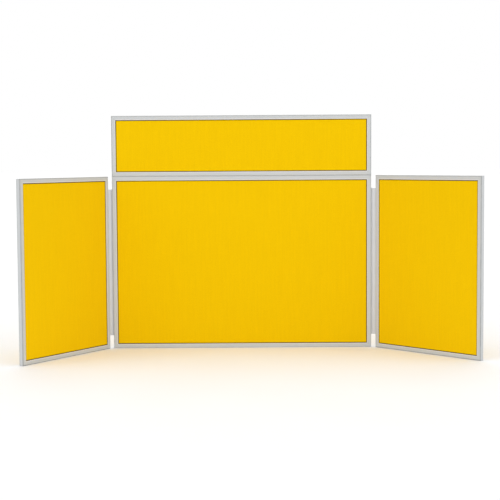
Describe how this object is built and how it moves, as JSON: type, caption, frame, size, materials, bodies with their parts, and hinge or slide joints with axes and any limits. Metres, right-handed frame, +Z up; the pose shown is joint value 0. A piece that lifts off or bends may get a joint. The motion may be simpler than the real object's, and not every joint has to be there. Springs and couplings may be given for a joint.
{
  "type": "folding display screen",
  "caption": "Desk-top folding display screen: framed fabric centre panel, two hinged wings and a lift-off header panel.",
  "frame": {"origin": "middle of the centre panel's foot, where its bottom rail meets the desk", "axes": "+X to the right along the centre panel, seen from the front; -Y to the front, where the wings fold; +Z up"},
  "size_m": [1.4979, 0.4026, 0.8093],
  "materials": {
    "frame_grey": "satin",
    "hinge_grey": "satin",
    "yellow_fabric": "matte",
    "core_board": "matte",
    "key_steel": "satin",
    "peg_steel": "gloss",
    "sleeve_plastic": "satin"
  },
  "bodies": {
    "centre_panel": {"centre_bottom_rail": "frame_grey", "centre_right_rail": "frame_grey", "centre_top_rail": "frame_grey", "centre_left_rail": "frame_grey", "centre_bottom_left_corner_key": "key_steel", "centre_bottom_right_corner_key": "key_steel", "centre_top_right_corner_key": "key_steel", "centre_top_left_corner_key": "key_steel", "centre_core_board": "core_board", "centre_front_fabric": "yellow_fabric", "centre_back_fabric": "yellow_fabric", "left_hinge_inner_bead": "hinge_grey", "right_hinge_inner_bead": "hinge_grey", "centre_left_peg_sleeve": "sleeve_plastic", "centre_right_peg_sleeve": "sleeve_plastic"},
    "left_hinge_web": {"left_hinge_strip": "hinge_grey"},
    "left_wing": {"left_wing_bottom_rail": "frame_grey", "left_wing_right_rail": "frame_grey", "left_wing_top_rail": "frame_grey", "left_wing_left_rail": "frame_grey", "left_wing_bottom_left_corner_key": "key_steel", "left_wing_bottom_right_corner_key": "key_steel", "left_wing_top_right_corner_key": "key_steel", "left_wing_top_left_corner_key": "key_steel", "left_wing_core_board": "core_board", "left_wing_front_fabric": "yellow_fabric", "left_wing_back_fabric": "yellow_fabric", "left_hinge_outer_bead": "hinge_grey"},
    "right_hinge_web": {"right_hinge_strip": "hinge_grey"},
    "right_wing": {"right_wing_bottom_rail": "frame_grey", "right_wing_right_rail": "frame_grey", "right_wing_top_rail": "frame_grey", "right_wing_left_rail": "frame_grey", "right_wing_bottom_left_corner_key": "key_steel", "right_wing_bottom_right_corner_key": "key_steel", "right_wing_top_right_corner_key": "key_steel", "right_wing_top_left_corner_key": "key_steel", "right_wing_core_board": "core_board", "right_wing_front_fabric": "yellow_fabric", "right_wing_back_fabric": "yellow_fabric", "right_hinge_outer_bead": "hinge_grey"},
    "header_panel": {"header_bottom_rail": "frame_grey", "header_right_rail": "frame_grey", "header_top_rail": "frame_grey", "header_left_rail": "frame_grey", "header_bottom_left_corner_key": "key_steel", "header_bottom_right_corner_key": "key_steel", "header_top_right_corner_key": "key_steel", "header_top_left_corner_key": "key_steel", "header_core_board": "core_board", "header_front_fabric": "yellow_fabric", "header_back_fabric": "yellow_fabric", "header_left_peg_sleeve": "sleeve_plastic", "header_right_peg_sleeve": "sleeve_plastic", "header_left_peg": "peg_steel", "header_right_peg": "peg_steel"}
  },
  "joints": [
    {"name": "left_wing_fold", "type": "hinge", "parent": "centre_panel", "child": "left_hinge_web", "pos_m": [-0.4515, 0, 0.3], "axis": [0, 0, 1], "range_deg": [-119, 61]},
    {"name": "left_wing_second_fold", "type": "hinge", "parent": "left_hinge_web", "child": "left_wing", "pos_m": [-0.46724, -0.00873, 0.3], "axis": [0, 0, 1], "range_deg": [-119, 61]},
    {"name": "right_wing_fold", "type": "hinge", "parent": "centre_panel", "child": "right_hinge_web", "pos_m": [0.4515, 0, 0.3], "axis": [0, 0, -1], "range_deg": [-113, 67]},
    {"name": "right_wing_second_fold", "type": "hinge", "parent": "right_hinge_web", "child": "right_wing", "pos_m": [0.46807, -0.00703, 0.3], "axis": [0, 0, -1], "range_deg": [-113, 67]},
    {"name": "header_lift", "type": "slide", "parent": "centre_panel", "child": "header_panel", "axis": [0, 0, 1], "range_m": [0, 0.06]}
  ],
  "couplings": [
    {"joint": "left_wing_second_fold", "follows": "left_wing_fold", "ratio": 1},
    {"joint": "right_wing_second_fold", "follows": "right_wing_fold", "ratio": 1}
  ]
}
